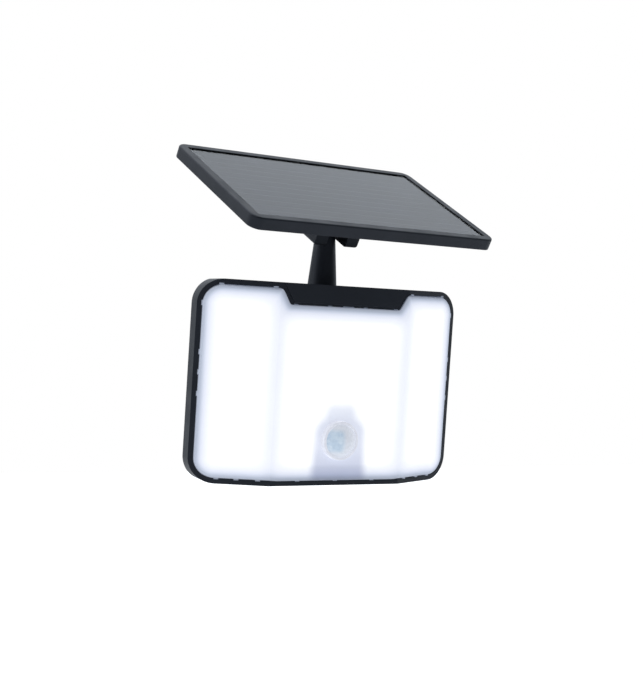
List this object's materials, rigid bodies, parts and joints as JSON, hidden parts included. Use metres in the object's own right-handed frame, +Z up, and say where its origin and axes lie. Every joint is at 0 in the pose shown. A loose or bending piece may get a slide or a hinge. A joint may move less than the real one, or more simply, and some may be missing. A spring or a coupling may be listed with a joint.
{
  "type": "solar flood light",
  "caption": "Wall-held solar flood light: wide three-faced lamp head with motion sensor, flat solar panel on a swivelling post, pan and tilt bracket behind.",
  "frame": {"origin": "centre of the wall plate's back face, on the wall", "axes": "+Y into the wall, so the lamp looks along -Y; +Z up; +X to the right of a person facing the lamp"},
  "size_m": [0.2267, 0.1979, 0.2472],
  "materials": {
    "black_plastic": "moulded, fine satin texture",
    "bracket_plastic": "moulded glass-filled plastic",
    "zinc_steel": "zinc plated",
    "contact_metal": "tinned",
    "nylon": "natural nylon",
    "frosted_diffuser": "frosted translucent, lit from behind",
    "white_plastic": "white satin",
    "holder_plastic": "moulded",
    "lens_plastic": "translucent polyethylene, fine rings",
    "ring_plastic": "white satin",
    "sensor_metal": "nickel can",
    "white_board": "white solder mask",
    "led": "phosphor",
    "green_board": "green solder mask",
    "component_plastic": "epoxy",
    "cell_wrap": "shrink sleeve",
    "seal_rubber": "matt",
    "button_rubber": "matt silicone",
    "panel_glass": "tempered, lightly textured",
    "backsheet": "black sheet",
    "silicon": "monocrystalline, anti-reflective"
  },
  "bodies": {
    "wall_mount": {"wall_bracket": "bracket_plastic", "pan_bolt": "zinc_steel", "pan_nut": "zinc_steel", "pan_washers": "nylon"},
    "pan_arm": {"pan_knuckle": "bracket_plastic"},
    "lamp_head": {"lamp_housing": "black_plastic", "diffuser": "frosted_diffuser", "diffuser_gasket": "seal_rubber", "reflector_tray": "white_plastic", "led_board_left": "white_board", "led_board_centre": "white_board", "led_board_right": "white_board", "led_chips_left": "led", "led_chips_centre": "led", "led_chips_right": "led", "tray_screws": "zinc_steel", "motion_lens": "lens_plastic", "motion_ring": "ring_plastic", "motion_sensor": "sensor_metal", "sensor_shroud": "white_plastic", "battery_holder": "holder_plastic", "battery_cells": "cell_wrap", "battery_contacts": "contact_metal", "control_board": "green_board", "board_standoffs": "white_plastic", "board_components": "component_plastic", "button_switch": "component_plastic", "cover_seal": "seal_rubber", "rear_cover": "black_plastic", "cover_screws": "zinc_steel", "head_bracket": "bracket_plastic", "bracket_screws": "zinc_steel", "tilt_bolt": "zinc_steel", "tilt_washers": "nylon", "tilt_knob": "bracket_plastic", "swivel_washer": "bracket_plastic"},
    "button": {"mode_button": "button_rubber"},
    "post": {"panel_post": "black_plastic", "post_clip": "zinc_steel", "post_grommet": "seal_rubber"},
    "panel": {"panel_frame": "black_plastic", "glass_tape": "seal_rubber", "panel_glass": "panel_glass", "panel_backsheet": "backsheet", "solar_cells": "silicon", "cell_ribbons": "contact_metal", "terminal_board": "green_board", "panel_back_plate": "black_plastic", "panel_grommet": "seal_rubber", "panel_bolt": "zinc_steel", "panel_bolt_nut": "zinc_steel", "panel_bolt_washers": "zinc_steel"}
  },
  "joints": [
    {"name": "head_pan", "type": "hinge", "parent": "wall_mount", "child": "pan_arm", "pos_m": [0, -0.018, 0], "axis": [0, 0, 1], "range_deg": [-28, 28]},
    {"name": "head_tilt", "type": "hinge", "parent": "pan_arm", "child": "lamp_head", "pos_m": [0, -0.068, 0], "axis": [1, 0, 0], "range_deg": [-8, 30]},
    {"name": "button_press", "type": "slide", "parent": "lamp_head", "child": "button", "axis": [0, -0.99, -0.1409], "range_m": [0, 0.0012], "stiffness_N_per_m": 1200, "springref_m": -0.0004},
    {"name": "panel_swivel", "type": "hinge", "parent": "lamp_head", "child": "post", "pos_m": [0, -0.10936, 0.06633], "axis": [0, -0.1409, 0.99], "range_deg": [-174, 156]},
    {"name": "panel_tilt", "type": "hinge", "parent": "post", "child": "panel", "pos_m": [0, -0.11621, 0.11445], "axis": [0.9877, 0.1549, 0.022], "range_deg": [-25, 29]}
  ]
}
